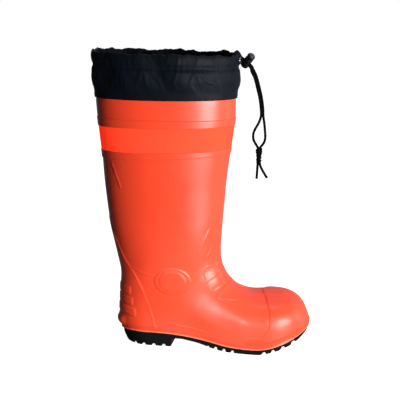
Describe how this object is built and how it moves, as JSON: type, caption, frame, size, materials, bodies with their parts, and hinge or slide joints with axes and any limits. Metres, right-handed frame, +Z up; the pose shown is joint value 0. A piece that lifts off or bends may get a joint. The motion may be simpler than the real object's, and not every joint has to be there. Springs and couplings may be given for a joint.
{
  "type": "safety boot",
  "caption": "Knee-length moulded safety boot with a lugged sole, heel spur, toe cap and a gathered snow collar closed by a drawcord with a push-button toggle.",
  "frame": {"origin": "on the floor under the middle of the heel", "axes": "+X towards the toe, +Y towards the inner side of the foot, +Z up"},
  "size_m": [0.3356, 0.1298, 0.4556],
  "materials": {
    "outsole": "matt black moulded sole",
    "upper": "satin moulded PVC",
    "insole": "felt footbed",
    "collar": "coated nylon cloth with a slight sheen",
    "eyelet": "plated",
    "toggle": "smooth moulded",
    "button": "smooth moulded",
    "cord": "braided nylon"
  },
  "bodies": {
    "boot": {"outsole": "outsole", "upper": "upper", "insole": "insole", "snow_collar": "collar", "eyelet_outer": "eyelet", "eyelet_inner": "eyelet", "toggle_barrel": "toggle", "drawcord_outer": "cord", "drawcord_inner": "cord", "drawcord_knot": "cord", "drawcord_tail_outer": "cord", "drawcord_tail_inner": "cord"},
    "button": {"toggle_button": "button"}
  },
  "joints": [
    {"name": "button_press", "type": "slide", "parent": "boot", "child": "button", "axis": [-0.5507, 0.5, -0.6684], "range_m": [0, 0.003], "stiffness_N_per_m": 400}
  ]
}
